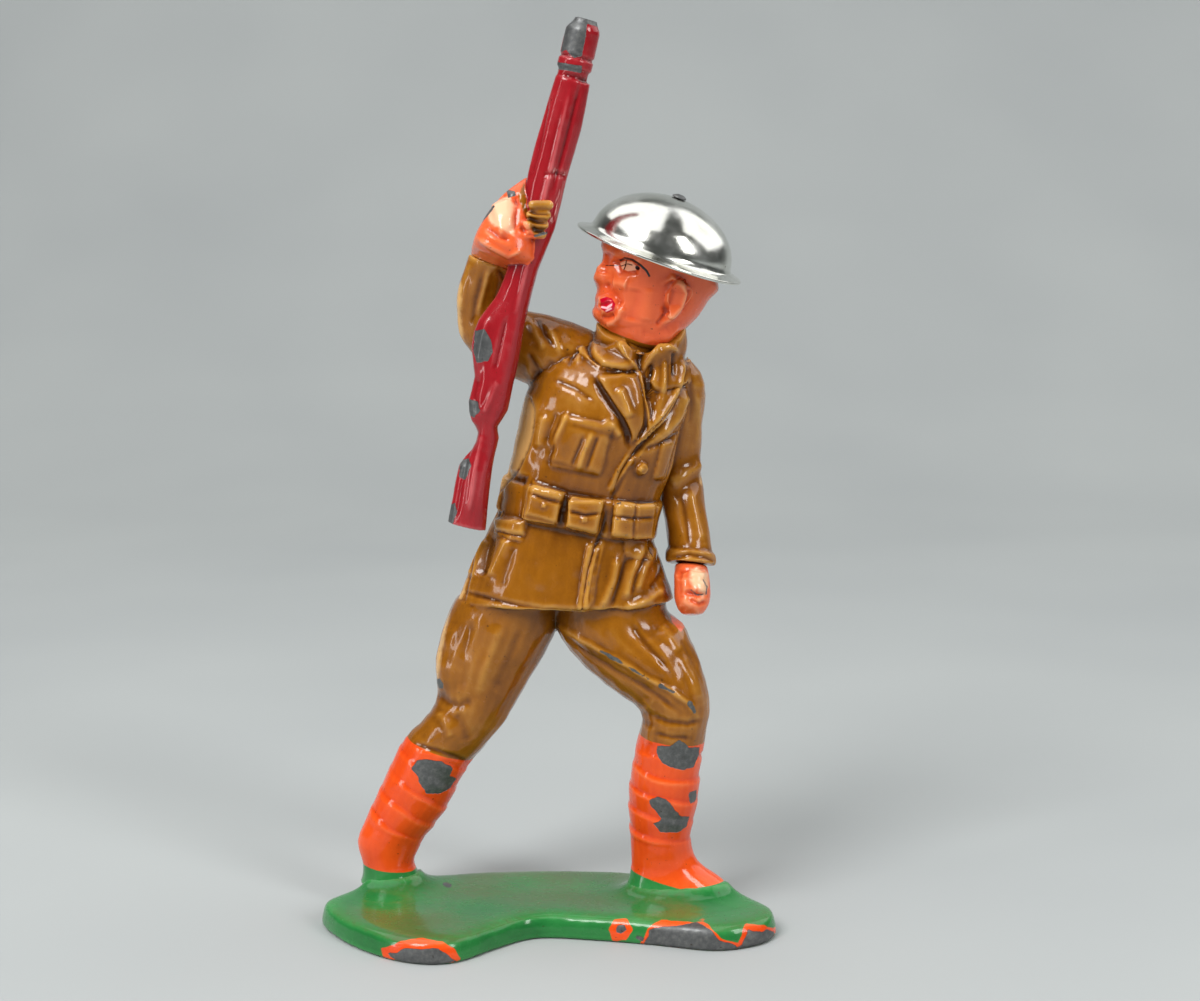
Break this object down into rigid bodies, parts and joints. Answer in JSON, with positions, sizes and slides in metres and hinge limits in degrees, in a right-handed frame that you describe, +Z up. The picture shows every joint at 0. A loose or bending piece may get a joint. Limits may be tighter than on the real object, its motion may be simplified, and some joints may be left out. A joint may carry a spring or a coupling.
{
  "type": "toy soldier figure",
  "caption": "Hollow-cast lead toy soldier striding with a rifle held up, on a kidney-shaped base, with a pressed tin helmet that turns on a crown stud.",
  "frame": {"origin": "on the underside of the base, in the middle of the base's length and depth", "axes": "+Z up through the figure, +X towards the toe of the striding front boot, -Y towards the chest side of the figure"},
  "size_m": [0.0476, 0.0244, 0.0926],
  "materials": {
    "khaki_enamel": "glossy brush-painted khaki enamel over cast lead, worn and darkened in the recesses",
    "flesh_enamel": "glossy orange flesh enamel over cast lead",
    "orange_enamel": "glossy orange enamel over cast lead, chipped to bare metal in places",
    "green_enamel": "glossy green enamel over cast lead, chipped at the edge",
    "crimson_enamel": "glossy crimson enamel over cast lead, worn at the edges",
    "bare_lead": "dull bare lead alloy",
    "bright_tin": "bright pressed tinplate"
  },
  "bodies": {
    "figure": {"base": "green_enamel", "right_boot": "orange_enamel", "right_puttee": "orange_enamel", "right_breeches": "khaki_enamel", "left_boot": "orange_enamel", "left_puttee": "orange_enamel", "left_breeches": "khaki_enamel", "tunic_skirt": "khaki_enamel", "tunic_body": "khaki_enamel", "belt": "khaki_enamel", "belt_pouches": "khaki_enamel", "right_breast_pocket": "khaki_enamel", "left_breast_pocket": "khaki_enamel", "right_hip_pocket": "khaki_enamel", "left_hip_pocket": "khaki_enamel", "upper_placket": "khaki_enamel", "lower_placket": "khaki_enamel", "tunic_button": "khaki_enamel", "right_lapel": "khaki_enamel", "left_lapel": "khaki_enamel", "collar": "khaki_enamel", "left_sleeve": "khaki_enamel", "left_cuff": "khaki_enamel", "left_hand": "flesh_enamel", "right_upper_sleeve": "khaki_enamel", "right_forearm_sleeve": "khaki_enamel", "right_hand": "flesh_enamel", "right_fingers": "flesh_enamel", "rifle_stock": "crimson_enamel", "rifle_barrel": "crimson_enamel", "rifle_band": "bare_lead", "rifle_muzzle": "bare_lead", "head": "flesh_enamel", "right_ear": "flesh_enamel", "left_ear": "flesh_enamel", "helmet_stud": "bare_lead"},
    "helmet": {"helmet": "bright_tin"}
  },
  "joints": [
    {"name": "helmet_swivel", "type": "hinge", "parent": "figure", "child": "helmet", "pos_m": [0.01136, 0.00403, 0.06931], "axis": [0.3325, -0.0872, 0.9391], "continuous": true}
  ]
}
